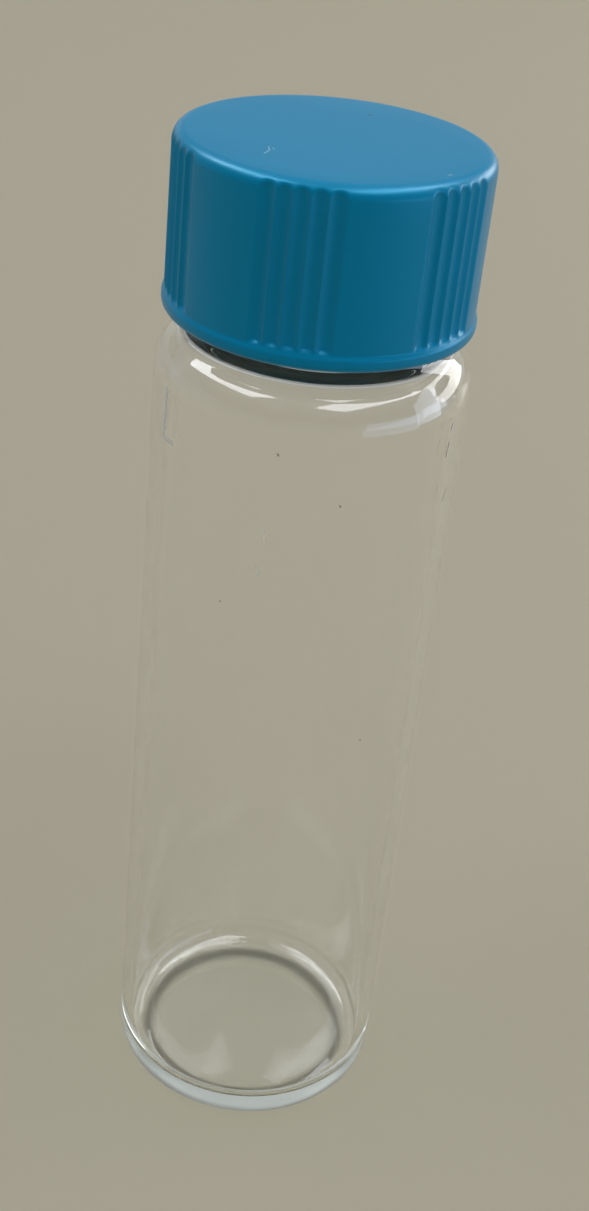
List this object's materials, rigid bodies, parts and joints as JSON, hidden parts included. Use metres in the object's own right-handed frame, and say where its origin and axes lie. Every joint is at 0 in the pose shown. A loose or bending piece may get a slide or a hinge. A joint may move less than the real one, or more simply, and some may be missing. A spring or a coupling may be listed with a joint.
{
  "type": "glass sample vial",
  "caption": "Clear glass vial with a rounded shoulder and a short screw neck, closed by a blue-green moulded screw cap with groups of grip grooves and a soft sealing disc inside.",
  "frame": {"origin": "centre of the base, on the surface that the vial stands on", "axes": "+Z along the vial's axis, up towards the cap"},
  "size_m": [0.0274, 0.0274, 0.0999],
  "materials": {
    "clear_glass": "clear, fire-polished",
    "liner_rubber": "smooth, dark grey",
    "cap_plastic": "moulded, glossy, blue-green"
  },
  "bodies": {
    "vial": {"vial": "clear_glass"},
    "liner": {"liner": "liner_rubber"},
    "cap": {"screw_cap": "cap_plastic"}
  },
  "joints": [
    {"name": "cap_lift", "type": "slide", "parent": "vial", "child": "liner", "axis": [0, 0, 1], "range_m": [0, 0.01144]},
    {"name": "cap_turn", "type": "hinge", "parent": "liner", "child": "cap", "pos_m": [0, 0, 0.09], "axis": [0, 0, 1], "range_deg": [0, 1296]}
  ],
  "couplings": [
    {"joint": "cap_lift", "follows": "cap_turn", "m_per_rad": 0.00050532}
  ]
}
